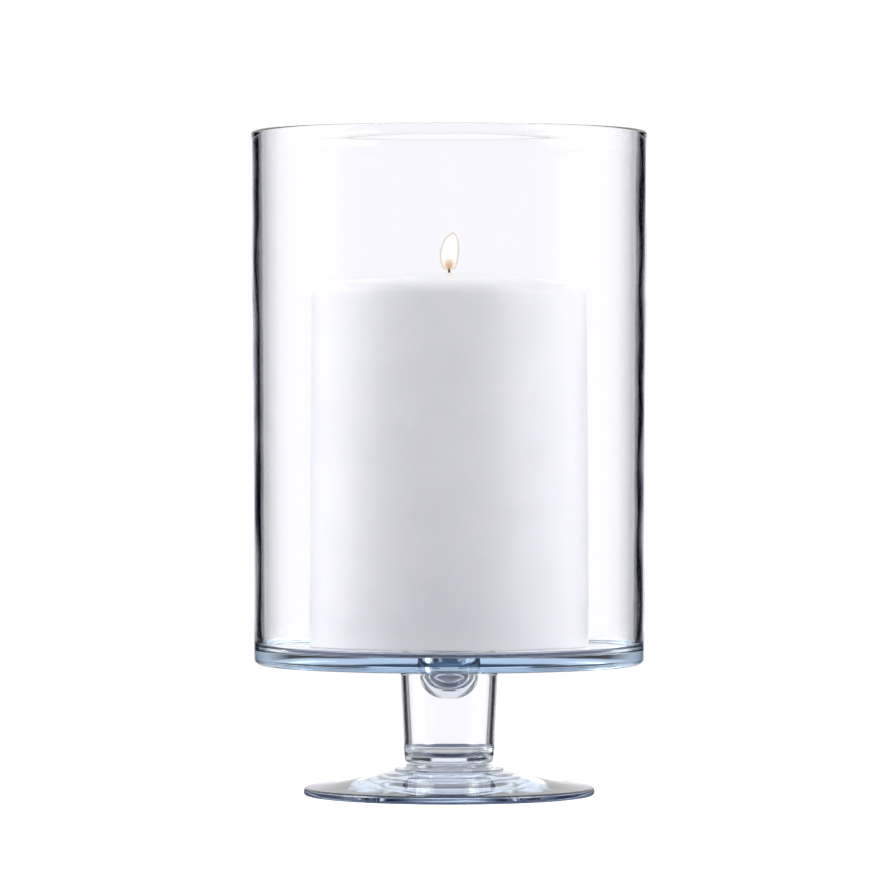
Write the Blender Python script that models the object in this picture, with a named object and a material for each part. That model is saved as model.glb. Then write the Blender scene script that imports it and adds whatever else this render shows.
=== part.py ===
"""Hurricane candle lantern: a clear glass cylinder on a hollow stem and a domed foot, with a pillar candle.

Every piece is turned about +Z. The lantern stands on the plane Z = 0, and the axis of all its pieces is X = Y = 0.
An outline is a list of (radius, height) points that a full spin makes into a closed solid.
"""

from math import cos, pi, radians, sin

import bmesh
import bpy

# The gap kept between pieces that touch.
GAP = 0.0003

# The foot: a low domed disc that rests on a ring.
FOOT_RADIUS = 0.0557
FOOT_EDGE_HEIGHT = 0.0016
FOOT_SHOULDER_RADIUS = 0.0543
FOOT_SHOULDER_HEIGHT = 0.0029
REST_RING_OUTER = 0.0532
REST_RING_INNER = 0.0450
FOOT_HOLLOW_DEPTH = 0.0014
FOOT_HOLLOW_RADIUS = 0.0300
SEAT_RADIUS = 0.0212
SEAT_HEIGHT = 0.0092
FOOT_DOME_POWER = 1.3

# The wafer of glass that joins the stem to the foot.
WAFER_BASE = SEAT_HEIGHT + GAP
WAFER_HEIGHT = 0.0024
WAFER_LOWER_RADIUS = 0.0208
WAFER_EDGE = 0.0005
WAFER_UPPER_RADIUS = 0.0163

# The vessel: an open cylinder, a little wider at the rim than at the floor.
VESSEL_UNDERSIDE = 0.0498
FLOOR_THICKNESS = 0.0056
VESSEL_TOP = 0.2540
VESSEL_RIM_RADIUS = 0.0760
VESSEL_BASE_RADIUS = 0.0748
VESSEL_WALL = 0.0030
FLOOR_OUTER_CORNER = 0.0014
FLOOR_INNER_CORNER = 0.0035
WELL_OUTER_RADIUS = 0.0113
WELL_OUTER_DEPTH = 0.0130
WELL_INNER_RADIUS = 0.0080
WELL_INNER_DEPTH = 0.0139

# The stem: a hollow tube whose lower end is rounded and closed.
STEM_BASE = WAFER_BASE + WAFER_HEIGHT + GAP
STEM_LENGTH = VESSEL_UNDERSIDE - GAP - STEM_BASE
STEM_TOP_RADIUS = 0.01875
STEM_BOTTOM_RADIUS = 0.0170
STEM_WALL = 0.0019
STEM_FLARE = 0.0005
STEM_OUTER_CORNER = 0.0020
STEM_INNER_CORNER = 0.0040
STEM_BOTTOM_THICKNESS = 0.0026

# The pillar candle, standing on the vessel's floor.
CANDLE_BASE = VESSEL_UNDERSIDE + FLOOR_THICKNESS + GAP
CANDLE_BOTTOM_RADIUS = 0.0535
CANDLE_TOP_RADIUS = 0.05275
CANDLE_SHOULDER_HEIGHT = 0.1400
CANDLE_CONE_HEIGHT = 0.1441
CANDLE_SHOULDER = 0.0045
CANDLE_BOTTOM_CORNER = 0.0012
OVERDIP_THICKNESS = 0.0020

# The wick and the clip that holds its lower end.
WICK_RADIUS = 0.0008
WICK_TIP_HEIGHT = 0.1478
WICK_HOLE_RADIUS = WICK_RADIUS + GAP
SUSTAINER_RADIUS = 0.0100
SUSTAINER_PLATE = 0.0005
SUSTAINER_NECK_RADIUS = 0.0018
SUSTAINER_NECK_HEIGHT = 0.0062

# Steps around a full turn.
STEPS_LARGE = 60
STEPS_SMALL = 24

# Points along a rounded corner and along a longer curve.
CORNER_STEPS = 4
CURVE_STEPS = 6

SMOOTH_ANGLE = radians(32)
MERGE_DISTANCE = 0.00001


def clear_scene():
    """Remove what the file holds, so that only this model is in it."""
    for obj in list(bpy.data.objects):
        bpy.data.objects.remove(obj)


def arc(centre_radius, centre_height, radius, start, end, steps=CORNER_STEPS):
    """Points on a circle about a centre in the outline's plane, from one angle in degrees to another."""
    points = []
    for step in range(steps + 1):
        angle = radians(start + (end - start) * step / steps)
        points.append((centre_radius + radius * cos(angle), centre_height + radius * sin(angle)))
    return points


def bowl(radius, top, depth, steps=CURVE_STEPS):
    """Points down a half ellipse, from the axis at its lowest point out to its brim."""
    points = []
    for step in range(steps + 1):
        angle = pi / 2 * step / steps
        points.append((radius * sin(angle), top - depth * cos(angle)))
    return points


def glass_material(name, colour):
    """Clear glass with a polished surface."""
    material = plain_material(name, colour, 0.0, 0.0)
    shader = material.node_tree.nodes["Principled BSDF"]
    shader.inputs["Transmission Weight"].default_value = 1.0
    shader.inputs["IOR"].default_value = 1.5
    return material


def plain_material(name, colour, roughness, metallic):
    """A Principled material with a colour, a roughness and a metallic value."""
    material = bpy.data.materials.new(name)
    material.use_nodes = True
    shader = material.node_tree.nodes["Principled BSDF"]
    shader.inputs["Base Color"].default_value = (*colour, 1.0)
    shader.inputs["Roughness"].default_value = roughness
    shader.inputs["Metallic"].default_value = metallic
    return material


def turn(name, outline, closed, material, steps, parent, height):
    """Spin an outline a full turn about +Z and stand the solid at a height under its parent.

    An outline that starts and ends on the axis is open, and the spin closes it there.
    A closed outline never touches the axis, so its solid is a ring.
    """
    mesh = bpy.data.meshes.new(name)
    shape = bmesh.new()
    points = [shape.verts.new((radius, 0.0, level)) for radius, level in outline]
    edges = [shape.edges.new(pair) for pair in zip(points, points[1:])]
    if closed:
        edges.append(shape.edges.new((points[-1], points[0])))
    bmesh.ops.spin(
        shape,
        geom=points + edges,
        cent=(0.0, 0.0, 0.0),
        axis=(0.0, 0.0, 1.0),
        angle=2 * pi,
        steps=steps,
        use_merge=True,
    )
    bmesh.ops.remove_doubles(shape, verts=shape.verts, dist=MERGE_DISTANCE)
    bmesh.ops.recalc_face_normals(shape, faces=shape.faces)
    shape.to_mesh(mesh)
    shape.free()
    mesh.shade_smooth()
    mesh.set_sharp_from_angle(angle=SMOOTH_ANGLE)
    mesh.materials.append(material)
    obj = bpy.data.objects.new(name, mesh)
    bpy.context.scene.collection.objects.link(obj)
    obj.parent = parent
    obj.location = (0.0, 0.0, height)
    return obj


def anchor(name, height):
    """An empty on the lantern's axis that pieces are placed under."""
    empty = bpy.data.objects.new(name, None)
    empty.empty_display_size = 0.02
    empty.location = (0.0, 0.0, height)
    bpy.context.scene.collection.objects.link(empty)
    return empty


def foot_outline():
    """The foot, from the middle of its hollow underside round its edge to the seat on top."""
    outline = [(0.0, FOOT_HOLLOW_DEPTH), (FOOT_HOLLOW_RADIUS, FOOT_HOLLOW_DEPTH)]
    outline += [(REST_RING_INNER, 0.0), (REST_RING_OUTER, 0.0)]
    lower = bowl(FOOT_RADIUS - REST_RING_OUTER, FOOT_EDGE_HEIGHT, FOOT_EDGE_HEIGHT, CORNER_STEPS)
    outline += [(REST_RING_OUTER + radius, level) for radius, level in lower[1:]]
    upper = bowl(FOOT_RADIUS - FOOT_SHOULDER_RADIUS, 0.0, FOOT_SHOULDER_HEIGHT - FOOT_EDGE_HEIGHT, CORNER_STEPS)
    outline += [(FOOT_SHOULDER_RADIUS + radius, FOOT_EDGE_HEIGHT - level) for radius, level in upper[-2::-1]]
    for step in range(1, CURVE_STEPS + 1):
        share = step / CURVE_STEPS
        radius = FOOT_SHOULDER_RADIUS + (SEAT_RADIUS - FOOT_SHOULDER_RADIUS) * share
        level = FOOT_SHOULDER_HEIGHT + (SEAT_HEIGHT - FOOT_SHOULDER_HEIGHT) * share**FOOT_DOME_POWER
        outline.append((radius, level))
    outline.append((0.0, SEAT_HEIGHT))
    return outline


def wafer_outline():
    """The wafer, whose side sweeps in from a thin edge to the narrower top that carries the stem."""
    outline = [(0.0, 0.0), (WAFER_LOWER_RADIUS, 0.0)]
    for step in range(CURVE_STEPS + 1):
        angle = pi / 2 * step / CURVE_STEPS
        radius = WAFER_UPPER_RADIUS + (WAFER_LOWER_RADIUS - WAFER_UPPER_RADIUS) * (1 - sin(angle))
        level = WAFER_EDGE + (WAFER_HEIGHT - WAFER_EDGE) * (1 - cos(angle))
        outline.append((radius, level))
    outline.append((0.0, WAFER_HEIGHT))
    return outline


def stem_outline():
    """The stem, from its closed bottom up the outside, over the open top and down the inside."""
    outline = [(0.0, 0.0)]
    outline += arc(STEM_BOTTOM_RADIUS - STEM_OUTER_CORNER, STEM_OUTER_CORNER, STEM_OUTER_CORNER, -90, 0)
    outline += arc(STEM_TOP_RADIUS + STEM_FLARE, STEM_LENGTH - STEM_FLARE, STEM_FLARE, 180, 90)
    outline.append((STEM_TOP_RADIUS - STEM_WALL, STEM_LENGTH))
    inner_radius = STEM_BOTTOM_RADIUS - STEM_WALL - STEM_INNER_CORNER
    outline += arc(inner_radius, STEM_BOTTOM_THICKNESS + STEM_INNER_CORNER, STEM_INNER_CORNER, 0, -90)
    outline.append((0.0, STEM_BOTTOM_THICKNESS))
    return outline


def vessel_outline():
    """The vessel, from under its well, out and up the wall, over the lip and back down to the well."""
    height = VESSEL_TOP - VESSEL_UNDERSIDE
    lip = VESSEL_WALL / 2
    outline = bowl(WELL_OUTER_RADIUS, 0.0, WELL_OUTER_DEPTH)
    outline += arc(VESSEL_BASE_RADIUS - FLOOR_OUTER_CORNER, FLOOR_OUTER_CORNER, FLOOR_OUTER_CORNER, -90, 0)
    outline += arc(VESSEL_RIM_RADIUS - lip, height - lip, lip, 0, 180, 2 * CORNER_STEPS)
    inner_radius = VESSEL_BASE_RADIUS - VESSEL_WALL - FLOOR_INNER_CORNER
    outline += arc(inner_radius, FLOOR_THICKNESS + FLOOR_INNER_CORNER, FLOOR_INNER_CORNER, 0, -90)
    outline += bowl(WELL_INNER_RADIUS, FLOOR_THICKNESS, WELL_INNER_DEPTH)[::-1]
    return outline


def overdip_outline():
    """The outer coat of wax: the candle's side and cone top, open underneath, with a hole for the wick."""
    inner_bottom = CANDLE_BOTTOM_RADIUS - OVERDIP_THICKNESS
    inner_top = CANDLE_TOP_RADIUS - OVERDIP_THICKNESS
    inner_shoulder = CANDLE_SHOULDER - OVERDIP_THICKNESS
    shoulder_level = CANDLE_SHOULDER_HEIGHT - CANDLE_SHOULDER
    outline = [(inner_bottom, 0.0)]
    outline += arc(
        CANDLE_BOTTOM_RADIUS - CANDLE_BOTTOM_CORNER, CANDLE_BOTTOM_CORNER, CANDLE_BOTTOM_CORNER, -90, 0
    )
    outline += arc(CANDLE_TOP_RADIUS - CANDLE_SHOULDER, shoulder_level, CANDLE_SHOULDER, 0, 88)
    outline.append((WICK_HOLE_RADIUS, CANDLE_CONE_HEIGHT))
    outline.append((WICK_HOLE_RADIUS, CANDLE_CONE_HEIGHT - OVERDIP_THICKNESS))
    outline += arc(inner_top - inner_shoulder, shoulder_level, inner_shoulder, 88, 0)
    return outline


def core_outline():
    """The pressed wax inside the coat, bored for the wick and recessed underneath for its clip."""
    bottom = CANDLE_BOTTOM_RADIUS - OVERDIP_THICKNESS - GAP
    top = CANDLE_TOP_RADIUS - OVERDIP_THICKNESS - GAP
    shoulder = CANDLE_SHOULDER - OVERDIP_THICKNESS
    shoulder_level = CANDLE_SHOULDER_HEIGHT - CANDLE_SHOULDER - GAP
    recess = SUSTAINER_PLATE + GAP
    neck_bore = SUSTAINER_NECK_RADIUS + GAP
    neck_top = SUSTAINER_NECK_HEIGHT + GAP
    outline = [(SUSTAINER_RADIUS + GAP, 0.0), (bottom, 0.0)]
    outline += arc(top - shoulder, shoulder_level, shoulder, 0, 88)
    outline.append((WICK_HOLE_RADIUS, CANDLE_CONE_HEIGHT - OVERDIP_THICKNESS - GAP))
    outline += [(WICK_HOLE_RADIUS, neck_top), (neck_bore, neck_top)]
    outline += [(neck_bore, recess), (SUSTAINER_RADIUS + GAP, recess)]
    return outline


def sustainer_outline():
    """The clip: a thin disc and a short neck, with a hole for the wick right through."""
    return [
        (WICK_HOLE_RADIUS, 0.0),
        (SUSTAINER_RADIUS, 0.0),
        (SUSTAINER_RADIUS, SUSTAINER_PLATE),
        (SUSTAINER_NECK_RADIUS, SUSTAINER_PLATE),
        (SUSTAINER_NECK_RADIUS, SUSTAINER_NECK_HEIGHT),
        (WICK_HOLE_RADIUS, SUSTAINER_NECK_HEIGHT),
    ]


def wick_outline():
    """The wick: a cord from the clip's underside to its rounded tip."""
    length = WICK_TIP_HEIGHT - WICK_RADIUS
    return [(0.0, 0.0), (WICK_RADIUS, 0.0)] + arc(0.0, length, WICK_RADIUS, 0, 90)


def build_glass():
    """The four pieces of glass that stand on the table."""
    glass = anchor("glass_frame", 0.0)
    clear = (0.96, 0.97, 0.985)
    turn("foot", foot_outline(), False, glass_material("foot glass", clear), STEPS_LARGE, glass, 0.0)
    turn(
        "joining_wafer", wafer_outline(), False, glass_material("wafer glass", clear), STEPS_LARGE, glass, WAFER_BASE
    )
    turn("stem", stem_outline(), False, glass_material("stem glass", clear), STEPS_LARGE, glass, STEM_BASE)
    turn(
        "vessel", vessel_outline(), False, glass_material("vessel glass", clear), STEPS_LARGE, glass, VESSEL_UNDERSIDE
    )


def build_candle():
    """The candle's four pieces, under one empty on the line along which the candle lifts out."""
    candle = anchor("candle_frame", CANDLE_BASE)
    core_wax = plain_material("pressed wax", (0.80, 0.79, 0.75), 0.6, 0.0)
    coat_wax = plain_material("overdip wax", (0.84, 0.84, 0.82), 0.35, 0.0)
    cotton = plain_material("charred cotton", (0.03, 0.022, 0.018), 0.9, 0.0)
    tinned_steel = plain_material("tinned steel", (0.72, 0.72, 0.70), 0.3, 1.0)
    turn("candle_core", core_outline(), True, core_wax, STEPS_LARGE, candle, 0.0)
    turn("candle_overdip", overdip_outline(), True, coat_wax, STEPS_LARGE, candle, 0.0)
    turn("wick", wick_outline(), False, cotton, STEPS_SMALL, candle, 0.0)
    turn("wick_sustainer", sustainer_outline(), True, tinned_steel, STEPS_SMALL, candle, 0.0)


clear_scene()
build_glass()
build_candle()
bpy.context.view_layer.update()
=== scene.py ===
# %% [markdown]
# # Hurricane candle lantern
#
# This lesson gives a packed lantern its looks. The lantern is a clear blown cylinder that stands on a
# hollow stem, a joining wafer and a domed foot, and it holds a white pillar candle with a burning wick.
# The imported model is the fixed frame: every piece made here takes its place and size from it, and rides
# on one of its two bodies, the glassware or the candle that lifts out of it.

# %% Load the frame
from math import pi, radians, sin

import bpy
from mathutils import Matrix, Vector


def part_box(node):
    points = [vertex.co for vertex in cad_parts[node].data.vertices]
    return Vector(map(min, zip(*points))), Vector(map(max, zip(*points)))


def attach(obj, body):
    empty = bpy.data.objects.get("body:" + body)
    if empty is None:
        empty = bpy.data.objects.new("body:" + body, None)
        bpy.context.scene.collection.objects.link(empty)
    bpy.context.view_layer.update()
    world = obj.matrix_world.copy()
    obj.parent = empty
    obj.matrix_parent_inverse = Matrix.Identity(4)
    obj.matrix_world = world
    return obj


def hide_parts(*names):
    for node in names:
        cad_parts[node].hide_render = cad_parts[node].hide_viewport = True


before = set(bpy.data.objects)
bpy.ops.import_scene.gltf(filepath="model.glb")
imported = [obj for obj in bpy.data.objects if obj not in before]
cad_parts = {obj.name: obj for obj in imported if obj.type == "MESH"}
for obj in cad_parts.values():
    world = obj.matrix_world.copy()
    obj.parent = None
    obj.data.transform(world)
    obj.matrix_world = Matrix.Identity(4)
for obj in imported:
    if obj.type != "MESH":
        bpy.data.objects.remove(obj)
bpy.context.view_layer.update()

MM = 0.001
GLASSWARE = "glassware"
CANDLE = "candle"

# %% [markdown]
# ## Sizes
#
# Every piece of this lantern is turned about one upright axis, so each is known by its radius and by
# its lowest and highest level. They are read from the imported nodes, so that a change there is followed
# here. What a box can't say, such as the thickness of a wall, is named with the piece it belongs to.

# %% Read the sizes
def radius_of(node):
    """Half of a turned node's width."""
    low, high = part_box(node)
    return (high[0] - low[0]) / 2


def levels_of(node):
    """A node's lowest and highest level."""
    low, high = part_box(node)
    return low[2], high[2]


rim_radius = radius_of("vessel")
well_bottom, rim_top = levels_of("vessel")
stem_bottom, stem_top = levels_of("stem")
wafer_bottom, wafer_top = levels_of("joining_wafer")
wafer_radius = radius_of("joining_wafer")
foot_radius = radius_of("foot")
seat_level = levels_of("foot")[1]
candle_radius = radius_of("candle_overdip")
candle_bottom, candle_peak = levels_of("candle_overdip")
wick_radius = radius_of("wick")
wick_bottom, wick_tip = levels_of("wick")
print(f"rim radius {rim_radius / MM:.1f} mm, candle radius {candle_radius / MM:.1f} mm")

# %% [markdown]
# ## Camera
#
# A long lens a little over two metres away sees the rim from slightly below and the floor of the vessel
# from slightly above, so the camera stands at the height of the candle's middle. It looks level, and a
# small shift frames the lantern, because a tilted camera would make the upright walls lean together.

# %% Place the camera
CAMERA_DISTANCE = 2.2
CAMERA_HEIGHT = 0.158
FRAME_WIDTH = 0.3424
FRAME_CENTRE_HEIGHT = 0.1330
FRAME_CENTRE_RIGHT = -0.0008
SENSOR_WIDTH = 36.0

camera_data = bpy.data.cameras.new("camera")
camera_data.sensor_width = SENSOR_WIDTH
camera_data.lens = SENSOR_WIDTH * CAMERA_DISTANCE / FRAME_WIDTH
camera_data.shift_x = FRAME_CENTRE_RIGHT / FRAME_WIDTH
camera_data.shift_y = (FRAME_CENTRE_HEIGHT - CAMERA_HEIGHT) / FRAME_WIDTH
camera = bpy.data.objects.new("camera", camera_data)
camera.location = (0.0, -CAMERA_DISTANCE, CAMERA_HEIGHT)
camera.rotation_euler = (radians(90), 0.0, 0.0)
bpy.context.scene.collection.objects.link(camera)
bpy.context.scene.camera = camera
print(f"lens {camera_data.lens:.0f} mm")

# %% [markdown]
# The Standard view leaves white as white, where the default film curve would grey it. A ray that
# crosses the whole lantern passes more than a dozen glass surfaces, so rays may bend that many times.
# Cycles also blurs glass for light that has met a matt surface, to save time. That would light the
# candle as if through frosted glass, so it is switched off.

# %% Set the view
scene = bpy.context.scene
scene.view_settings.view_transform = "Standard"
scene.cycles.max_bounces = 32
scene.cycles.transmission_bounces = 32
scene.cycles.glossy_bounces = 12
scene.cycles.blur_glossy = 0.0

# %% [markdown]
# ## Helpers for materials
#
# Colours are picked as sRGB hex values, the way a colour picker shows them, but a shader works in linear
# light, so one function turns them. Another adds a node with its settings and links in one call.

# %% Material helpers
WHITE = (1.0, 1.0, 1.0, 1.0)
BLACK = (0.0, 0.0, 0.0, 1.0)


def linear(hex_colour):
    """An sRGB hex colour such as ffffff as linear red, green, blue and alpha."""
    channels = []
    for start in (0, 2, 4):
        value = int(hex_colour[start:start + 2], 16) / 255
        channels.append(value / 12.92 if value <= 0.04045 else ((value + 0.055) / 1.055) ** 2.4)
    return (*channels, 1.0)


def add_node(tree, kind, settings=None, links=None, stops=None):
    """Add a node, set its properties and sockets by name or number, link its inputs, and fill its ramp."""
    node = tree.nodes.new(kind)
    for name, value in (settings or {}).items():
        if isinstance(name, str) and hasattr(node, name):
            setattr(node, name, value)
        else:
            node.inputs[name].default_value = value
    for name, output in (links or {}).items():
        tree.links.new(output, node.inputs[name])
    if stops:
        elements = node.color_ramp.elements
        elements.remove(elements[-1])
        elements[0].position, elements[0].color = stops[0]
        for position, colour in stops[1:]:
            elements.new(position).color = colour
    return node


def new_material(name):
    """A material with an empty node tree, and the tree."""
    material = bpy.data.materials.new(name)
    material.use_nodes = True
    material.node_tree.nodes.clear()
    return material, material.node_tree


# %% [markdown]
# ## Light for clear glass
#
# Clear glass is seen by what it bends into view. Studios put one bright panel behind it, and a black
# card, called a flag, at each side of that panel: the thick edges of the glass bend light by more than
# the panel's half width, so they draw themselves as dark lines. The studio is painted round the sky by
# its bearing. The walls at eye level are also pale at each side, which clears the middle of the glass,
# and dim behind the camera.

# %% Paint the walls at eye level
SKY_STRENGTH = 15.0
PANEL = 1.08
PALE = 0.95
DIM = 0.5

world = bpy.data.worlds.new("studio")
scene.world = world
world.use_nodes = True
sky = world.node_tree
sky.nodes.clear()


def wall(brightness, tint="ffffff"):
    """A wall's colour on the sky for a brightness where 1 is plain white."""
    return (*(channel * brightness / SKY_STRENGTH for channel in linear(tint)[:3]), 1.0)


FELT = wall(1.0, "04050e")
FLAG_EDGE = wall(1.0, "2c3768")
PANEL_WHITE = wall(PANEL, "fcfaff")
eye_level = [
    (-180, wall(DIM)),
    (-125, wall(DIM)),
    (-107, wall(PALE)),
    (-60, wall(PALE)),
    (-42, FELT),
    (-19, FELT),
    (-17, FLAG_EDGE),
    (-15, PANEL_WHITE),
    (15, PANEL_WHITE),
    (17, FLAG_EDGE),
    (19, FELT),
    (42, FELT),
    (60, wall(PALE)),
    (107, wall(PALE)),
    (125, wall(DIM)),
    (180, wall(DIM)),
]

direction = add_node(sky, "ShaderNodeTexCoord")
axes = add_node(sky, "ShaderNodeSeparateXYZ", links={"Vector": direction.outputs["Generated"]})
bearing = add_node(
    sky,
    "ShaderNodeMath",
    {"operation": "ARCTAN2"},
    {0: axes.outputs["X"], 1: axes.outputs["Y"]},
)
round_share = add_node(
    sky,
    "ShaderNodeMapRange",
    {"From Min": -pi, "From Max": pi},
    {"Value": bearing.outputs["Value"]},
)


def round_the_sky(stops):
    """Colours by bearing in degrees from straight ahead, as a ramp's stops."""
    return [(0.5 + degrees / 360, colour) for degrees, colour in stops]


walls = add_node(
    sky,
    "ShaderNodeValToRGB",
    links={"Fac": round_share.outputs["Result"]},
    stops=round_the_sky(eye_level),
)
print(f"{len(eye_level)} stops round the walls")

# %% [markdown]
# Two tall lamps stand at the sides with their lower edges above the lantern's line of sight. They put
# the soft sheen on the wax, and the glass doesn't mirror them. Between them the upper wall is dark in
# front of the lantern, which shapes the candle, and pale behind it, which keeps the foot clear. The
# ceiling and the floor are darker in front for the same reason. Each layer fades into the one below it
# between two elevations.

# %% Hang the lamps, the ceiling and the floor
LEFT_LAMP = 14.6
RIGHT_LAMP = 11.2
UPPER_FRONT = 0.12
UPPER_BACK = 1.0
CEILING_FRONT = 0.1
CEILING_BACK = 0.9
GROUND_FRONT = 0.6
GROUND_BACK = 1.0
LAMP_EDGE = (5, 9)
CEILING_EDGE = (34, 44)
GROUND_EDGE = (-9, -18)
ROOM_WHITE = 1.05

above_eye_level = [
    (-180, wall(UPPER_FRONT)),
    (-120, wall(UPPER_FRONT)),
    (-106, wall(LEFT_LAMP)),
    (-90, wall(LEFT_LAMP)),
    (-76, wall(UPPER_BACK)),
    (93, wall(UPPER_BACK)),
    (107, wall(RIGHT_LAMP)),
    (123, wall(RIGHT_LAMP)),
    (137, wall(UPPER_FRONT)),
    (180, wall(UPPER_FRONT)),
]
lamps = add_node(
    sky,
    "ShaderNodeValToRGB",
    links={"Fac": round_share.outputs["Result"]},
    stops=round_the_sky(above_eye_level),
)


def front_and_back(front, back):
    """A layer with one brightness over the camera's half of the room and another over the panel's."""
    halves = [(-180, front), (-105, front), (-75, back), (75, back), (105, front), (180, front)]
    return add_node(
        sky,
        "ShaderNodeValToRGB",
        links={"Fac": round_share.outputs["Result"]},
        stops=round_the_sky([(degrees, wall(brightness)) for degrees, brightness in halves]),
    )


ceiling = front_and_back(CEILING_FRONT, CEILING_BACK)
ground = front_and_back(GROUND_FRONT, GROUND_BACK)


def layer(lower, upper, edge):
    """Blend one colour of the sky into another between two elevations in degrees."""
    start, full = edge
    share = add_node(
        sky,
        "ShaderNodeMapRange",
        {"From Min": sin(radians(start)), "From Max": sin(radians(full))},
        {"Value": axes.outputs["Z"]},
    )
    links = {0: share.outputs["Result"], 6: lower, 7: upper}
    return add_node(sky, "ShaderNodeMix", {"data_type": "RGBA"}, links).outputs[2]


with_lamps = layer(walls.outputs["Color"], lamps.outputs["Color"], LAMP_EDGE)
with_ceiling = layer(with_lamps, ceiling.outputs["Color"], CEILING_EDGE)
with_ground = layer(with_ceiling, ground.outputs["Color"], GROUND_EDGE)
lit_room = add_node(sky, "ShaderNodeBackground", {"Strength": SKY_STRENGTH}, {"Color": with_ground})
white_room = add_node(sky, "ShaderNodeBackground", {"Color": WHITE, "Strength": ROOM_WHITE})
ray = add_node(sky, "ShaderNodeLightPath")
chosen = add_node(
    sky,
    "ShaderNodeMixShader",
    links={
        "Fac": ray.outputs["Is Camera Ray"],
        1: lit_room.outputs["Background"],
        2: white_room.outputs["Background"],
    },
)
add_node(sky, "ShaderNodeOutputWorld", links={"Surface": chosen.outputs["Shader"]})
print(f"lamps {LEFT_LAMP} and {RIGHT_LAMP} times plain white")

# %% [markdown]
# The table is a round sheet of white acrylic. To the camera it is white and glows a little, so that it
# stays as white as the background and only the closest contact with the foot shows on it. To the glass it
# carries
# painted light and shade instead: it is painted dark all over but for one painted band of light behind the
# lantern's middle, and both glow a little as painted light. The foot's clear dome bends that painted band
# into view, and its rim bends the rest, the painted shade. The table is small, so that a low line of sight
# through the glass passes over its edge to the panel and the flags.

# %% Make the table
TABLE_RADIUS = 130 * MM
TABLE_SIDES = 96
PAINTED_BAND_GLOW = 0.35
CAMERA_GLOW = 0.55
TABLE_ROUGHNESS = 0.5
BAND_START = 34 * MM
BAND_END = 52 * MM
# The dark blue-grey is painted shade on the table, seen only by the glass; the white is the table's own
# colour.
PAINTED_TABLE_SHADE = linear("2c3858")
WHITE_ACRYLIC = linear("ececf0")

table_material, tree = new_material("white acrylic table with painted shade and light")
place = add_node(tree, "ShaderNodeTexCoord")
table_axes = add_node(tree, "ShaderNodeSeparateXYZ", links={"Vector": place.outputs["Object"]})
depth = add_node(
    tree,
    "ShaderNodeMapRange",
    {"From Min": BAND_START, "From Max": BAND_END},
    {"Value": table_axes.outputs["Y"]},
)
# Painted light and shade by depth: painted shade in front and far behind, one painted band of light
# between.
painted_band_colour = add_node(
    tree,
    "ShaderNodeValToRGB",
    links={"Fac": depth.outputs["Result"]},
    stops=[(0.0, PAINTED_TABLE_SHADE), (0.25, WHITE_ACRYLIC), (0.65, WHITE_ACRYLIC), (1.0, PAINTED_TABLE_SHADE)],
)
# What the glass sees: the painted shade and the painted band of light, both glowing a little as painted
# light.
glass_seen_painted_table = add_node(
    tree,
    "ShaderNodeBsdfPrincipled",
    {"Roughness": TABLE_ROUGHNESS, "Emission Strength": PAINTED_BAND_GLOW},
    {"Base Color": painted_band_colour.outputs["Color"], "Emission Color": painted_band_colour.outputs["Color"]},
)
lit_acrylic = add_node(
    tree,
    "ShaderNodeBsdfPrincipled",
    {
        "Base Color": WHITE_ACRYLIC,
        "Roughness": TABLE_ROUGHNESS,
        "Emission Color": WHITE,
        "Emission Strength": CAMERA_GLOW,
    },
)
table_ray = add_node(tree, "ShaderNodeLightPath")
seen = add_node(
    tree,
    "ShaderNodeMixShader",
    links={
        "Fac": table_ray.outputs["Is Camera Ray"],
        1: glass_seen_painted_table.outputs["BSDF"],
        2: lit_acrylic.outputs["BSDF"],
    },
)
add_node(tree, "ShaderNodeOutputMaterial", links={"Surface": seen.outputs["Shader"]})
bpy.ops.object.select_all(action="DESELECT")
bpy.ops.mesh.primitive_circle_add(vertices=TABLE_SIDES, radius=TABLE_RADIUS, fill_type="NGON")
table = bpy.context.object
table.name = "studio_table"
table.data.materials.append(table_material)
print(f"table {2 * TABLE_RADIUS / MM:.0f} mm across")

# %% [markdown]
# ## Turning on a lathe
#
# Blown and pressed glass is round because it is turned while it is soft, and a modeller can do the
# same. One vertex is extruded from point to point to draw half of the section, corners are rounded by
# beveling single vertices, and the section is spun once round the axis. A cylinder with insets and
# bevels could give the outside, but the wells and fillets inside are far easier to draw as a section.

# %% Lathe helpers
CORNER_SEGMENTS = 8
LONGEST_EDGE = 4 * MM
MOST_CUTS = 80
TURN_STEPS = 240
TOUCHING = 0.01 * MM


def draw_section(name, points):
    """Extrude one vertex along (radius, level) points, and return the wire as a new object."""
    bpy.ops.object.select_all(action="DESELECT")
    bpy.ops.mesh.primitive_plane_add(size=MM)
    piece = bpy.context.object
    piece.name = name
    piece.data.name = name
    bpy.ops.object.mode_set(mode="EDIT")
    bpy.ops.mesh.merge(type="CENTER")
    bpy.ops.transform.translate(value=(points[0][0], 0.0, points[0][1]))
    for (radius, level), (next_radius, next_level) in zip(points, points[1:]):
        step = (next_radius - radius, 0.0, next_level - level)
        bpy.ops.mesh.extrude_region_move(TRANSFORM_OT_translate={"value": step})
    bpy.ops.object.mode_set(mode="OBJECT")
    return piece


def select_where(piece, test):
    """Go into edit mode with only the vertices selected whose place passes a test."""
    bpy.ops.object.select_all(action="DESELECT")
    bpy.context.view_layer.objects.active = piece
    piece.select_set(True)
    bpy.ops.object.mode_set(mode="EDIT")
    bpy.ops.mesh.select_mode(type="VERT")
    bpy.ops.mesh.select_all(action="DESELECT")
    bpy.ops.object.mode_set(mode="OBJECT")
    vertices = piece.data.vertices
    for vertex in vertices:
        vertex.select = test(vertex.co)
    for edge in piece.data.edges:
        edge.select = all(vertices[index].select for index in edge.vertices)
    for face in piece.data.polygons:
        face.select = all(vertices[index].select for index in face.vertices)
    bpy.ops.object.mode_set(mode="EDIT")


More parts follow.
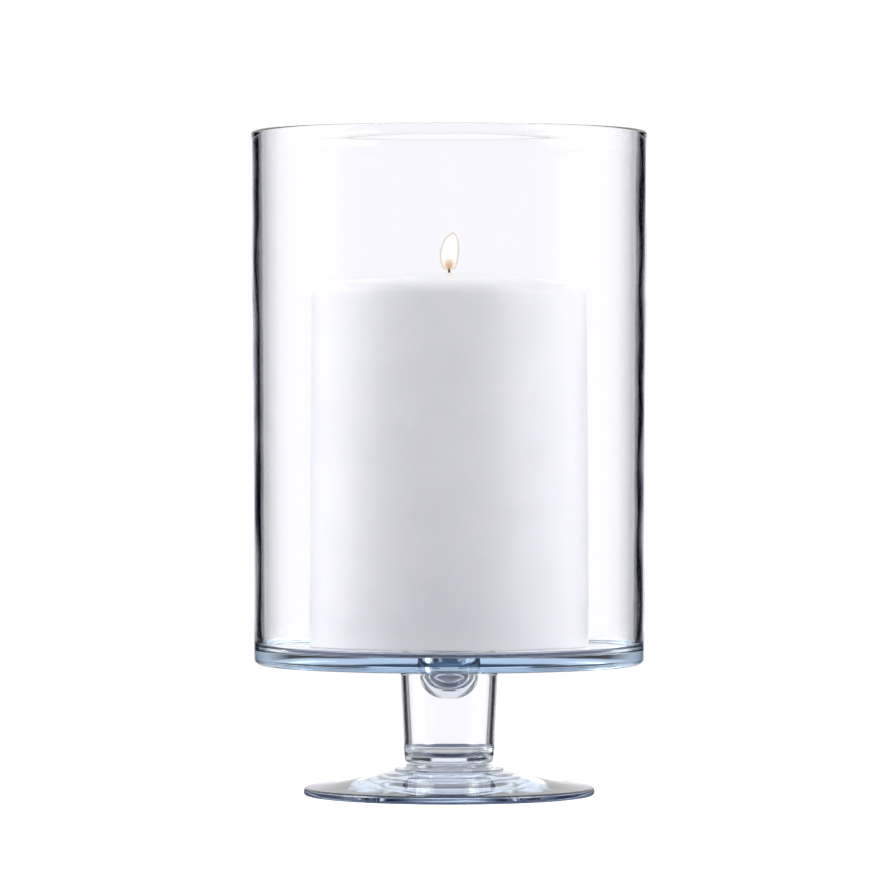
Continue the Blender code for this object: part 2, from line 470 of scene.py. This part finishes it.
def round_corner(piece, point, size, segments=CORNER_SEGMENTS):
    """Bevel the section's vertex at a (radius, level) point into an arc that starts size away from it."""
    corner = Vector((point[0], 0.0, point[1]))
    select_where(piece, lambda place: (place - corner).length < TOUCHING)
    bpy.ops.mesh.bevel(offset=size, segments=segments, affect="VERTICES")
    bpy.ops.object.mode_set(mode="OBJECT")


def cut_long_edges(piece):
    """Subdivide the section's long edges, so that smooth shading stays true along straight walls."""
    for cuts in range(1, MOST_CUTS):
        select_where(piece, lambda place: False)
        bpy.ops.mesh.select_mode(type="EDGE")
        bpy.ops.object.mode_set(mode="OBJECT")
        vertices = piece.data.vertices
        for edge in piece.data.edges:
            start, end = (vertices[index].co for index in edge.vertices)
            edge.select = int((end - start).length / LONGEST_EDGE) == cuts
        found = any(edge.select for edge in piece.data.edges)
        bpy.ops.object.mode_set(mode="EDIT")
        if found:
            bpy.ops.mesh.subdivide(number_cuts=cuts)
        bpy.ops.object.mode_set(mode="OBJECT")


def turn_section(piece):
    """Spin the section a full turn, merge the seam and the poles, and face the skin outwards."""
    select_where(piece, lambda place: True)
    bpy.ops.mesh.spin(steps=TURN_STEPS, angle=2 * pi, center=(0, 0, 0), axis=(0, 0, 1))
    bpy.ops.mesh.select_all(action="SELECT")
    bpy.ops.mesh.remove_doubles(threshold=TOUCHING)
    bpy.ops.mesh.normals_make_consistent(inside=False)
    bpy.ops.object.mode_set(mode="OBJECT")
    bpy.ops.object.shade_smooth()
    print(f"{piece.name}: {len(piece.data.polygons)} faces")


def finish_piece(piece, material, body, node=None):
    """Give a piece its material and say what it rides on, replaces and is made of."""
    piece.data.materials.clear()
    piece.data.materials.append(material)
    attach(piece, body)
    if node:
        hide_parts(node)


# %% [markdown]
# ## Soda-lime glass
#
# The lantern is clear soda-lime glass, blown by mouth or machine. It bends light by 1.5, it is
# polished by fire, so its roughness is nothing, and its slight waves come from the blowing. A plain
# colour on the surface would tint thin walls as much as thick ones, so the blue-grey comes from
# absorption inside the glass instead: a wall of 3 mm looks clear, and the rims, where light runs along
# the glass for centimetres, turn steel blue.

# %% Glass material
GLASS_IOR = 1.5
ABSORPTION_DENSITY = 6.0
WAVE_SPACING = 28 * MM
WAVE_DEPTH = 0.10 * MM
BLUE_GREY_PASSED = (0.10, 0.45, 0.80, 1.0)

soda_glass, tree = new_material("blown soda-lime glass")
place = add_node(tree, "ShaderNodeTexCoord")
waves = add_node(
    tree,
    "ShaderNodeTexNoise",
    {"Scale": 1 / WAVE_SPACING, "Detail": 1.0, "Roughness": 0.4},
    {"Vector": place.outputs["Object"]},
)
wavy_skin = add_node(
    tree,
    "ShaderNodeBump",
    {"Strength": 1.0, "Distance": WAVE_DEPTH},
    {"Height": waves.outputs["Fac"]},
)
glass_surface = add_node(
    tree,
    "ShaderNodeBsdfPrincipled",
    {"Base Color": WHITE, "Roughness": 0.0, "IOR": GLASS_IOR, "Transmission Weight": 1.0},
    {"Normal": wavy_skin.outputs["Normal"]},
)
glass_body = add_node(
    tree,
    "ShaderNodeVolumeAbsorption",
    {"Color": BLUE_GREY_PASSED, "Density": ABSORPTION_DENSITY},
)
add_node(
    tree,
    "ShaderNodeOutputMaterial",
    links={"Surface": glass_surface.outputs["BSDF"], "Volume": glass_body.outputs["Volume"]},
)
print(f"glass waves {WAVE_SPACING / MM:.0f} mm apart")

# %% [markdown]
# ## The vessel
#
# The vessel is one bubble of glass with a thick flat floor. Its lip is rounded by the flame that
# polished it, and the middle of the floor sags into the open stem below as a small bowl. The section is
# drawn from the bowl's underside out to the wall, up, over the lip and back down to the bowl.

# %% Turn the vessel
VESSEL_WALL = 3.0 * MM
VESSEL_UNDERSIDE = 49.8 * MM
VESSEL_FLOOR = 55.4 * MM
VESSEL_BASE_RADIUS = 74.8 * MM
WELL_OUTER_RADIUS = 11.3 * MM
WELL_INNER_RADIUS = 8.0 * MM
WELL_INNER_BOTTOM = 41.5 * MM
LIP_ROUNDING = 0.49 * VESSEL_WALL

well_outer = (WELL_OUTER_RADIUS, well_bottom)
well_neck = (WELL_OUTER_RADIUS, VESSEL_UNDERSIDE)
base_outer = (VESSEL_BASE_RADIUS, VESSEL_UNDERSIDE)
lip_outer = (rim_radius, rim_top)
lip_inner = (rim_radius - VESSEL_WALL, rim_top)
base_inner = (VESSEL_BASE_RADIUS - VESSEL_WALL, VESSEL_FLOOR)
well_mouth = (WELL_INNER_RADIUS, VESSEL_FLOOR)
well_inner = (WELL_INNER_RADIUS, WELL_INNER_BOTTOM)
vessel = draw_section(
    "blown_vessel",
    [
        (0.0, well_bottom),
        well_outer,
        well_neck,
        base_outer,
        lip_outer,
        lip_inner,
        base_inner,
        well_mouth,
        well_inner,
        (0.0, WELL_INNER_BOTTOM),
    ],
)
round_corner(vessel, well_outer, 9.0 * MM, 16)
round_corner(vessel, well_neck, 2.0 * MM)
round_corner(vessel, base_outer, 2.6 * MM)
round_corner(vessel, lip_outer, LIP_ROUNDING)
round_corner(vessel, lip_inner, LIP_ROUNDING)
round_corner(vessel, base_inner, 3.5 * MM, 10)
round_corner(vessel, well_mouth, 1.2 * MM)
round_corner(vessel, well_inner, 6.6 * MM, 14)
cut_long_edges(vessel)
turn_section(vessel)
finish_piece(vessel, soda_glass, GLASSWARE, "vessel")

# %% [markdown]
# ## The stem
#
# The stem is a short tumbler of glass. Its open top is closed by the vessel's floor, and its bottom is
# rounded inside and out, which the light shows as a dark curl at each lower corner.

# %% Turn the stem
STEM_WALL = 1.9 * MM
STEM_TOP_RADIUS = 18.75 * MM
STEM_BOTTOM_RADIUS = 17.0 * MM
STEM_BOTTOM_THICKNESS = 2.6 * MM

stem_outer = (STEM_BOTTOM_RADIUS, stem_bottom)
stem_inner = (STEM_BOTTOM_RADIUS - STEM_WALL, stem_bottom + STEM_BOTTOM_THICKNESS)
stem = draw_section(
    "hollow_stem",
    [
        (0.0, stem_bottom),
        stem_outer,
        (STEM_TOP_RADIUS, stem_top),
        (STEM_TOP_RADIUS - STEM_WALL, stem_top),
        stem_inner,
        (0.0, stem_bottom + STEM_BOTTOM_THICKNESS),
    ],
)
round_corner(stem, stem_outer, 2.0 * MM)
round_corner(stem, stem_inner, 4.0 * MM, 12)
round_corner(stem, (STEM_TOP_RADIUS, stem_top), 0.3 * MM, 4)
cut_long_edges(stem)
turn_section(stem)
finish_piece(stem, soda_glass, GLASSWARE, "stem")

# %% [markdown]
# ## The joining wafer
#
# A glassmaker drops a small disc of hot glass between stem and foot so that the two grip. It is squeezed
# as it cools, so its side sweeps in from a thin lower edge to the width of the stem.

# %% Turn the wafer
WAFER_TOP_RADIUS = 16.3 * MM
WAFER_EDGE = 0.5 * MM

wafer_waist = (WAFER_TOP_RADIUS, wafer_bottom + WAFER_EDGE)
wafer = draw_section(
    "joining_wafer_glass",
    [
        (0.0, wafer_bottom),
        (wafer_radius, wafer_bottom),
        (wafer_radius, wafer_bottom + WAFER_EDGE),
        wafer_waist,
        (WAFER_TOP_RADIUS, wafer_top),
        (0.0, wafer_top),
    ],
)
round_corner(wafer, wafer_waist, 1.8 * MM, 8)
round_corner(wafer, (wafer_radius, wafer_bottom + WAFER_EDGE), 0.24 * MM, 4)
round_corner(wafer, (WAFER_TOP_RADIUS, wafer_top), 0.08 * MM, 3)
cut_long_edges(wafer)
turn_section(wafer)
finish_piece(wafer, soda_glass, GLASSWARE, "joining_wafer")

# %% [markdown]
# ## The foot
#
# The foot is a disc of glass that spins out flat while it is hot, so it thins towards a rounded edge.
# Underneath it is hollowed a little and stands on a ring. The dome's slope is drawn through a few points
# of a power curve, which is steep by the stem and nearly flat at the edge.

# %% Turn the foot
REST_RING_INNER = 45.0 * MM
FOOT_HOLLOW_DEPTH = 1.4 * MM
FOOT_HOLLOW_RADIUS = 30.0 * MM
FOOT_SHOULDER_HEIGHT = 2.9 * MM
SEAT_RADIUS = 21.2 * MM
DOME_POWER = 1.3
DOME_POINTS = 14

dome = []
for step in range(1, DOME_POINTS + 1):
    share = step / DOME_POINTS
    radius = foot_radius + (SEAT_RADIUS - foot_radius) * share
    level = FOOT_SHOULDER_HEIGHT + (seat_level - FOOT_SHOULDER_HEIGHT) * share**DOME_POWER
    dome.append((radius, level))
foot_lower_edge = (foot_radius, 0.0)
foot_upper_edge = (foot_radius, FOOT_SHOULDER_HEIGHT)
foot = draw_section(
    "domed_foot",
    [
        (0.0, FOOT_HOLLOW_DEPTH),
        (FOOT_HOLLOW_RADIUS, FOOT_HOLLOW_DEPTH),
        (REST_RING_INNER, 0.0),
        foot_lower_edge,
        foot_upper_edge,
        *dome,
        (0.0, seat_level),
    ],
)
round_corner(foot, (FOOT_HOLLOW_RADIUS, FOOT_HOLLOW_DEPTH), 10 * MM, 10)
round_corner(foot, (REST_RING_INNER, 0.0), 3 * MM, 8)
round_corner(foot, foot_lower_edge, 1.0 * MM, 8)
round_corner(foot, foot_upper_edge, 0.9 * MM, 8)
cut_long_edges(foot)
turn_section(foot)
finish_piece(foot, soda_glass, GLASSWARE, "foot")

# %% [markdown]
# ## Wax
#
# A pillar candle is pressed from wax grains and then dipped in clearer wax, which leaves a smooth satin
# coat. Wax lets light a few millimetres in, so it looks soft, and it is never one flat colour: the coat
# runs a little as it cools, which leaves faint clouds and shallow ripples.

# %% Wax materials
CLOUD_SPACING = 30 * MM
RIPPLE_SPACING = 7 * MM
RIPPLE_DEPTH = 0.05 * MM
GRAIN_SIZE = 1.2 * MM
GRAIN_DEPTH = 0.12 * MM
SHEEN_SPREAD = 0.04
WAX_IOR = 1.45
LIGHT_DEPTH = 4 * MM


def wax(name, pale, deep, roughness, ripple_spacing, ripple_depth):
    """Wax with faint clouds in its colour and shallow ripples in its surface."""
    material, tree = new_material(name)
    place = add_node(tree, "ShaderNodeTexCoord")
    clouds = add_node(
        tree,
        "ShaderNodeTexNoise",
        {"Scale": 1 / CLOUD_SPACING, "Detail": 4.0, "Roughness": 0.6},
        {"Vector": place.outputs["Object"]},
    )
    colour = add_node(
        tree,
        "ShaderNodeValToRGB",
        links={"Fac": clouds.outputs["Fac"]},
        stops=[(0.35, linear(deep)), (0.65, linear(pale))],
    )
    sheen = add_node(
        tree,
        "ShaderNodeMapRange",
        {"To Min": roughness - SHEEN_SPREAD, "To Max": roughness + SHEEN_SPREAD},
        {"Value": clouds.outputs["Fac"]},
    )
    ripples = add_node(
        tree,
        "ShaderNodeTexNoise",
        {"Scale": 1 / ripple_spacing, "Detail": 3.0},
        {"Vector": place.outputs["Object"]},
    )
    bump = add_node(
        tree,
        "ShaderNodeBump",
        {"Strength": 1.0, "Distance": ripple_depth},
        {"Height": ripples.outputs["Fac"]},
    )
    surface = add_node(
        tree,
        "ShaderNodeBsdfPrincipled",
        {
            "IOR": WAX_IOR,
            "Subsurface Weight": 0.4,
            "Subsurface Radius": (1.0, 0.85, 0.7),
            "Subsurface Scale": LIGHT_DEPTH,
        },
        {
            "Base Color": colour.outputs["Color"],
            "Roughness": sheen.outputs["Result"],
            "Normal": bump.outputs["Normal"],
        },
    )
    add_node(tree, "ShaderNodeOutputMaterial", links={"Surface": surface.outputs["BSDF"]})
    return material


coat_wax = wax("overdipped paraffin wax", "edebf0", "e7e5ea", 0.30, RIPPLE_SPACING, RIPPLE_DEPTH)
core_wax = wax("pressed paraffin wax", "ebe9e4", "dedbd3", 0.6, GRAIN_SIZE, GRAIN_DEPTH)
print("waxes:", coat_wax.name, "and", core_wax.name)

# %% [markdown]
# ## The candle's coat
#
# The coat is a thin shell over the pressed core, open underneath, with a low cone on top where the wax
# drew down round the wick as it cooled. Its section is a closed loop that never reaches the axis,
# because the wick comes through it, so the last vertex is joined back to the first before the spin.

# %% Turn the coat
COAT_THICKNESS = 2.0 * MM
CANDLE_TOP_RADIUS = 52.75 * MM
CANDLE_SHOULDER_LEVEL = candle_bottom + 140 * MM
SHOULDER_SIZE = 4.5 * MM
WICK_HOLE_RADIUS = wick_radius + 0.3 * MM

coat_foot = (candle_radius, candle_bottom)
coat_shoulder = (CANDLE_TOP_RADIUS, CANDLE_SHOULDER_LEVEL)
coat_peak = (WICK_HOLE_RADIUS, candle_peak)
inner_shoulder = (CANDLE_TOP_RADIUS - COAT_THICKNESS, CANDLE_SHOULDER_LEVEL - COAT_THICKNESS)
coat = draw_section(
    "wax_coat",
    [
        (candle_radius - COAT_THICKNESS, candle_bottom),
        coat_foot,
        coat_shoulder,
        coat_peak,
        (WICK_HOLE_RADIUS, candle_peak - COAT_THICKNESS),
        inner_shoulder,
    ],
)
select_where(coat, lambda place: place.x > candle_radius / 2 and place.x < CANDLE_TOP_RADIUS - MM)
bpy.ops.mesh.edge_face_add()
bpy.ops.object.mode_set(mode="OBJECT")
round_corner(coat, coat_foot, 1.2 * MM)
round_corner(coat, coat_shoulder, SHOULDER_SIZE, 12)
round_corner(coat, coat_peak, 0.5 * MM, 5)
round_corner(coat, inner_shoulder, SHOULDER_SIZE - COAT_THICKNESS, 6)
cut_long_edges(coat)
turn_section(coat)
finish_piece(coat, coat_wax, CANDLE, "candle_overdip")

# %% [markdown]
# ## The wick
#
# A wick is cotton yarns twisted or braided into a cord. Three strands are enough to read as cord at
# this size: one circle is carried round and up by a Screw modifier into a helix, its ends are closed,
# and two copies are turned by a third of a turn each. The top is drawn in where the flame has eaten it.

# %% Twist the wick
STRANDS = 3
STRAND_SIDES = 8
LAY_LENGTH = 4.2 * MM
STRAND_STEPS = 16
CHAR_SHRINK = 0.65
CHAR_START = candle_peak - 0.5 * MM

strand_radius = wick_radius * 0.5
strand_offset = wick_radius - strand_radius
turns = int((wick_tip - wick_bottom) / LAY_LENGTH)
lay = (wick_tip - wick_bottom - 2 * strand_radius) / turns
bpy.ops.object.select_all(action="DESELECT")
bpy.ops.mesh.primitive_circle_add(
    vertices=STRAND_SIDES,
    radius=strand_radius,
    location=(strand_offset, 0.0, wick_bottom + strand_radius),
    rotation=(radians(90), 0.0, 0.0),
)
first_strand = bpy.context.object
bpy.ops.object.transform_apply(location=True, rotation=True, scale=True)
twist = first_strand.modifiers.new("twist", "SCREW")
twist.angle = 2 * pi
twist.screw_offset = lay
twist.iterations = turns
twist.steps = STRAND_STEPS
twist.render_steps = STRAND_STEPS
twist.use_merge_vertices = False
bpy.ops.object.modifier_apply(modifier=twist.name)
bpy.ops.object.mode_set(mode="EDIT")
bpy.ops.mesh.select_all(action="DESELECT")
bpy.ops.mesh.select_mode(type="EDGE")
bpy.ops.mesh.select_non_manifold()
bpy.ops.mesh.fill()
bpy.ops.mesh.select_all(action="SELECT")
bpy.ops.mesh.normals_make_consistent(inside=False)
bpy.ops.object.mode_set(mode="OBJECT")

strands = [first_strand]
for number in range(1, STRANDS):
    strand = first_strand.copy()
    strand.data = first_strand.data.copy()
    bpy.context.collection.objects.link(strand)
    bpy.ops.object.select_all(action="DESELECT")
    strand.select_set(True)
    bpy.context.view_layer.objects.active = strand
    strand.rotation_euler = (0.0, 0.0, 2 * pi * number / STRANDS)
    bpy.ops.object.transform_apply(location=True, rotation=True, scale=True)
    strands.append(strand)
bpy.ops.object.select_all(action="DESELECT")
for strand in strands:
    strand.select_set(True)
bpy.context.view_layer.objects.active = first_strand
bpy.ops.object.join()
wick = bpy.context.object
wick.name = "twisted_wick"
wick.data.name = "twisted_wick"
bpy.ops.object.shade_smooth()
select_where(wick, lambda place: place.z > CHAR_START)
bpy.ops.transform.resize(value=(CHAR_SHRINK, CHAR_SHRINK, 1.0), center_override=(0.0, 0.0, candle_peak))
bpy.ops.object.mode_set(mode="OBJECT")
print(f"wick: {turns} turns of {lay / MM:.1f} mm, {len(wick.data.polygons)} faces")

# %% [markdown]
# Cotton chars to matt black with a brown bloom, and its very tip glows where it feeds the flame. Deep
# in the wax it is still white. So the colour follows the height along the cord, broken up by fibres.

# %% Cotton material
FIBRE_SPACING = 0.25 * MM
FIBRE_DEPTH = 0.1 * MM
SCORCH_LENGTH = 3 * MM

cotton, tree = new_material("charred cotton")
place = add_node(tree, "ShaderNodeTexCoord")
height = add_node(tree, "ShaderNodeSeparateXYZ", links={"Vector": place.outputs["Object"]})
char_share = add_node(
    tree,
    "ShaderNodeMapRange",
    {"From Min": candle_peak - SCORCH_LENGTH, "From Max": wick_tip},
    {"Value": height.outputs["Z"]},
)
fibres = add_node(
    tree,
    "ShaderNodeTexNoise",
    {"Scale": 1 / FIBRE_SPACING, "Detail": 2.0},
    {"Vector": place.outputs["Object"]},
)
char_colour = add_node(
    tree,
    "ShaderNodeValToRGB",
    links={"Fac": char_share.outputs["Result"]},
    stops=[
        (0.0, linear("efe9dc")),
        (0.3, linear("5a4a40")),
        (0.5, linear("2a211d")),
        (1.0, linear("4a3024")),
    ],
)
fibre_shade = add_node(
    tree,
    "ShaderNodeMix",
    {"data_type": "RGBA", "blend_type": "MULTIPLY", 0: 0.6},
    {6: char_colour.outputs["Color"], 7: fibres.outputs["Color"]},
)
fuzz = add_node(
    tree,
    "ShaderNodeBump",
    {"Strength": 0.6, "Distance": FIBRE_DEPTH},
    {"Height": fibres.outputs["Fac"]},
)
cotton_surface = add_node(
    tree,
    "ShaderNodeBsdfPrincipled",
    {"Roughness": 0.9, "Sheen Weight": 0.2},
    {"Base Color": fibre_shade.outputs[2], "Normal": fuzz.outputs["Normal"]},
)
add_node(tree, "ShaderNodeOutputMaterial", links={"Surface": cotton_surface.outputs["BSDF"]})
finish_piece(wick, cotton, CANDLE, "wick")

# %% [markdown]
# ## The flame
#
# A small steady flame is a blunt egg of glowing soot, wide at the wick and leaning in the draught. It is
# dull orange round the wick and nearly white above, so against a pale wall only its outline shows, as a
# faint warm line. Nested shells that let light through give that from every side: a warm veil outside,
# a white-hot heart inside it, and two small embers round the end of the wick.

# %% Shape the flame
FLAME_WIDTH = 7.4 * MM
FLAME_HEIGHT = 14.6 * MM
FLAME_LEAN = 1.5 * MM
FLAME_BASE = candle_peak + 0.75 * MM
VEIL_THICKNESS = 0.70 * MM
WIDEST_SHARE = 0.47
BASE_SHARE = 0.63
FLAME_SEGMENTS = 32
FLAME_RINGS = 28
RING_STEP = 0.01 * MM


def flame_profile(share):
    """The flame's radius at a share of its height, as a part of its greatest radius."""
    if share > WIDEST_SHARE:
        above = (share - WIDEST_SHARE) / (1 - WIDEST_SHARE)
        return (1 - above**2) ** 0.6
    below = (WIDEST_SHARE - share) / WIDEST_SHARE
    closing = min(1.0, share / 0.04) ** 0.5
    return (1 - (1 - BASE_SHARE) * below**2) * closing


def shape_flame(name, width, height, base, lean):
    """Add a sphere, then widen, narrow and shift it ring by ring into a flame."""
    bpy.ops.object.select_all(action="DESELECT")
    bpy.ops.mesh.primitive_uv_sphere_add(
        segments=FLAME_SEGMENTS,
        ring_count=FLAME_RINGS,
        radius=height / 2,
        location=(0.0, 0.0, base + height / 2),
    )
    shell = bpy.context.object
    shell.name = name
    shell.data.name = name
    bpy.ops.object.transform_apply(location=True, rotation=True, scale=True)
    rings = sorted({round(vertex.co.z / RING_STEP) for vertex in shell.data.vertices})
    for ring in rings[1:]:
        level = ring * RING_STEP
        share = (level - base) / height
        select_where(shell, lambda place: round(place.z / RING_STEP) == ring)
        if ring != rings[-1]:
            ratio = flame_profile(share) * width / 2 / ((share - share**2) ** 0.5 * height)
            bpy.ops.transform.resize(value=(ratio, ratio, 1.0), center_override=(0.0, 0.0, level))
        bpy.ops.transform.translate(value=(lean * share**3, 0.0, 0.0))
        bpy.ops.object.mode_set(mode="OBJECT")
    bpy.ops.object.shade_smooth()
    return shell


veil = shape_flame("flame_veil", FLAME_WIDTH, FLAME_HEIGHT, FLAME_BASE, FLAME_LEAN)
heart = shape_flame(
    "flame_heart",
    FLAME_WIDTH - 2 * VEIL_THICKNESS,
    FLAME_HEIGHT - 2 * VEIL_THICKNESS,
    FLAME_BASE + VEIL_THICKNESS,
    FLAME_LEAN,
)
outer_ember = shape_flame("flame_outer_ember", 3.6 * MM, 4.6 * MM, FLAME_BASE + 0.8 * MM, 0.0)
inner_ember = shape_flame("flame_inner_ember", 2.3 * MM, 3.4 * MM, FLAME_BASE + 1.0 * MM, 0.0)
print(f"flame: {FLAME_WIDTH / MM:.1f} x {FLAME_HEIGHT / MM:.1f} mm")

# %% [markdown]
# Soot glows by its heat and has no skin of its own, so each shell only emits light and lets the rest
# through. The white shell thins out towards the wick, where the embers are at their thickest, so the
# orange shows only there. A slow drift of colour over each shell stands for the uneven soot.

# %% Flame materials
DRIFT_SPACING = 3 * MM
ORANGE_UP_TO = FLAME_BASE + 1.0 * MM
WHITE_FROM = FLAME_BASE + 5.0 * MM


def glowing_soot(name, low_colour, high_colour, brightness, cover, cover_at_base):
    """A shell of glowing soot that hides a share of what is behind it, and another share near the wick."""
    material, tree = new_material(name)
    place = add_node(tree, "ShaderNodeTexCoord")
    drift = add_node(
        tree,
        "ShaderNodeTexNoise",
        {"Scale": 1 / DRIFT_SPACING, "Detail": 1.0},
        {"Vector": place.outputs["Object"]},
    )
    colour = add_node(
        tree,
        "ShaderNodeValToRGB",
        links={"Fac": drift.outputs["Fac"]},
        stops=[(0.3, linear(low_colour)), (0.7, linear(high_colour))],
    )
    height = add_node(tree, "ShaderNodeSeparateXYZ", links={"Vector": place.outputs["Object"]})
    share = add_node(
        tree,
        "ShaderNodeMapRange",
        {
            "From Min": ORANGE_UP_TO,
            "From Max": WHITE_FROM,
            "To Min": cover_at_base,
            "To Max": cover,
        },
        {"Value": height.outputs["Z"]},
    )
    glow = add_node(
        tree,
        "ShaderNodeBsdfPrincipled",
        {
            "Base Color": BLACK,
            "Roughness": 1.0,
            "Specular IOR Level": 0.0,
            "Emission Strength": brightness,
        },
        {"Emission Color": colour.outputs["Color"], "Alpha": share.outputs["Result"]},
    )
    add_node(tree, "ShaderNodeOutputMaterial", links={"Surface": glow.outputs["BSDF"]})
    return material


flame_soot = {
    veil: glowing_soot("soot veil", "d2bf9c", "d9c8a8", 1.0, 0.34, 0.3),
    heart: glowing_soot("white hot soot", "ffffff", "fffffb", 2.0, 0.32, 0.06),
    outer_ember: glowing_soot("amber soot", "f0a050", "f6b468", 1.1, 0.1, 0.5),
    inner_ember: glowing_soot("orange soot", "9a4412", "b05c20", 1.0, 0.1, 0.85),
}
for shell, soot in flame_soot.items():
    finish_piece(shell, soot, CANDLE)
print(f"{len(flame_soot)} shells of glowing soot")

# %% [markdown]
# ## The pieces that stay as they were packed
#
# The pressed core and the clip under the wick have the right shape already, so they keep their solids
# and get better materials. They are seen only from below, through the vessel's floor. The clip is
# stamped from tinned steel, which is bright but soft, so it is covered in fine scratches.

# %% Core and clip
SCRATCH_SPACING = 0.8 * MM

tinplate, tree = new_material("tinned steel")
place = add_node(tree, "ShaderNodeTexCoord")
scratches = add_node(
    tree,
    "ShaderNodeTexNoise",
    {"Scale": 1 / SCRATCH_SPACING, "Detail": 6.0, "Roughness": 0.7},
    {"Vector": place.outputs["Object"]},
)
tin_sheen = add_node(
    tree,
    "ShaderNodeMapRange",
    {"To Min": 0.2, "To Max": 0.42},
    {"Value": scratches.outputs["Fac"]},
)
tin_surface = add_node(
    tree,
    "ShaderNodeBsdfPrincipled",
    {"Base Color": linear("c9c8c4"), "Metallic": 1.0},
    {"Roughness": tin_sheen.outputs["Result"]},
)
add_node(tree, "ShaderNodeOutputMaterial", links={"Surface": tin_surface.outputs["BSDF"]})
for node, material in (("candle_core", core_wax), ("wick_sustainer", tinplate)):
    solid = bpy.data.objects[node]
    solid.data.materials.clear()
    solid.data.materials.append(material)
    print(f"{node} keeps its packed solid, in {material.name}")
